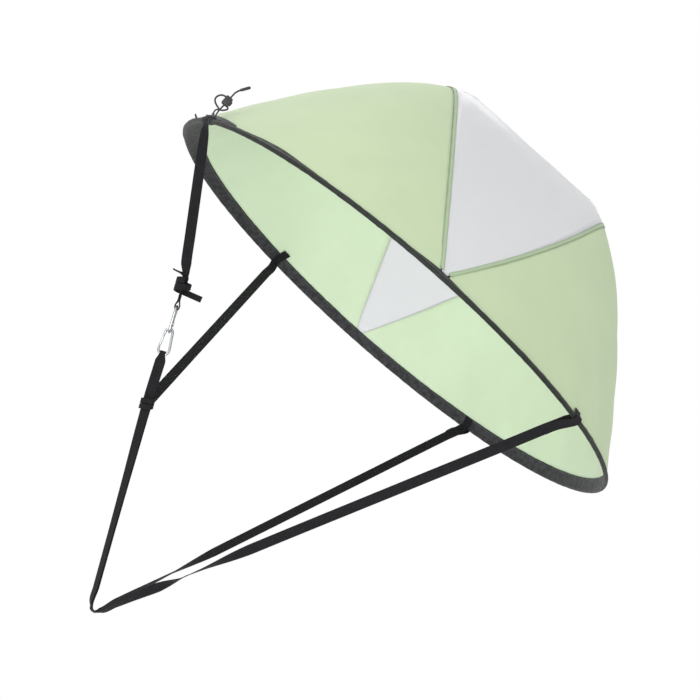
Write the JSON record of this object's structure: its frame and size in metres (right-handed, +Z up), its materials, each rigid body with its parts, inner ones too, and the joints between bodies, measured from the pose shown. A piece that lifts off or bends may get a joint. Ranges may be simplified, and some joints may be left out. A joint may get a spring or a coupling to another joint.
{
  "type": "canoe sail",
  "caption": "Round folding canoe sail: domed cloth with a clear window on a hoop, webbing bridle, linked snap clips and a cord lock.",
  "frame": {"origin": "the bridle's bight, where a hand or a deck line holds the sail", "axes": "+Z up in the picture, +X to its right, +Y away from the viewer, along the hoop's level diameter"},
  "size_m": [1.0212, 1.088, 1.0313],
  "materials": {
    "hoop_rod": "glass-fibre rod",
    "hoop_ferrule": "plain tube",
    "rim_sleeve": "crinkled coated cloth",
    "end_patch": "crinkled coated cloth",
    "left_panel": "taut ripstop cloth",
    "right_panel": "taut ripstop cloth",
    "window_panel": "clear flexible sheet",
    "left_seam_tape": "stitched tape",
    "right_seam_tape": "stitched tape",
    "bridle_strap": "fine-woven webbing",
    "near_anchor_tab": "fine-woven webbing",
    "far_anchor_tab": "fine-woven webbing",
    "side_strap": "fine-woven webbing",
    "side_strap_hitch": "fine-woven webbing",
    "clip_strap": "fine-woven webbing",
    "clip_strap_knot": "fine-woven webbing",
    "upper_clip_body": "bright plated wire",
    "upper_gate": "bright plated",
    "upper_gate_pin": "plain",
    "upper_gate_spring": "spring wire",
    "lower_clip_body": "bright plated wire",
    "lower_gate": "bright plated",
    "lower_gate_pin": "plain",
    "lower_gate_spring": "spring wire",
    "cord_lock_body": "moulded",
    "cord_lock_plunger": "moulded",
    "cord_lock_spring": "spring wire",
    "tether_cord": "braided cord",
    "tether_lashing": "braided cord",
    "keel_loop": "braided cord",
    "rim_loop": "braided cord"
  },
  "bodies": {
    "sail": {"hoop_rod": "hoop_rod", "hoop_ferrule": "hoop_ferrule", "rim_sleeve": "rim_sleeve", "end_patch": "end_patch", "left_panel": "left_panel", "right_panel": "right_panel", "window_panel": "window_panel", "left_seam_tape": "left_seam_tape", "right_seam_tape": "right_seam_tape", "bridle_strap": "bridle_strap", "near_anchor_tab": "near_anchor_tab", "far_anchor_tab": "far_anchor_tab", "side_strap": "side_strap", "side_strap_hitch": "side_strap_hitch", "clip_strap": "clip_strap", "clip_strap_knot": "clip_strap_knot", "tether_cord": "tether_cord", "tether_lashing": "tether_lashing", "keel_loop": "keel_loop", "rim_loop": "rim_loop"},
    "upper_clip": {"upper_clip_body": "upper_clip_body", "upper_gate_pin": "upper_gate_pin", "upper_gate_spring": "upper_gate_spring"},
    "upper_gate": {"upper_gate": "upper_gate"},
    "lower_clip": {"lower_clip_body": "lower_clip_body", "lower_gate_pin": "lower_gate_pin", "lower_gate_spring": "lower_gate_spring"},
    "lower_gate": {"lower_gate": "lower_gate"},
    "cord_lock": {"cord_lock_body": "cord_lock_body", "cord_lock_spring": "cord_lock_spring"},
    "lock_plunger": {"cord_lock_plunger": "cord_lock_plunger"}
  },
  "joints": [
    {"name": "upper_clip_twist", "type": "hinge", "parent": "sail", "child": "upper_clip", "pos_m": [0.14487, -0.074, 0.56766], "axis": [-0.2846, 0, -0.9587], "range_deg": [-2.4, 2.4]},
    {"name": "lower_clip_twist", "type": "hinge", "parent": "sail", "child": "lower_clip", "pos_m": [0.11752, -0.074, 0.47554], "axis": [-0.2846, 0, -0.9587], "range_deg": [-2.4, 2.4]},
    {"name": "upper_gate_hinge", "type": "hinge", "parent": "upper_clip", "child": "upper_gate", "pos_m": [0.13513, -0.06626, 0.53204], "axis": [0.9535, -0.1036, -0.283], "range_deg": [0, 22], "stiffness_Nm_per_rad": 0.02, "springref_deg": -22.92},
    {"name": "lower_gate_hinge", "type": "hinge", "parent": "lower_clip", "child": "lower_gate", "pos_m": [0.1206, -0.07319, 0.51313], "axis": [-0.0993, -0.9946, 0.0295], "range_deg": [0, 22], "stiffness_Nm_per_rad": 0.02, "springref_deg": -22.92},
    {"name": "cord_lock_slide", "type": "slide", "parent": "sail", "child": "cord_lock", "axis": [0.6574, 0, 0.7536], "range_m": [-0.006, 0.006]},
    {"name": "cord_lock_press", "type": "slide", "parent": "cord_lock", "child": "lock_plunger", "axis": [-0.7536, 0, 0.6574], "range_m": [0, 0.002], "stiffness_N_per_m": 500, "springref_m": -0.004, "deforming": ["cord_lock_spring"]}
  ]
}
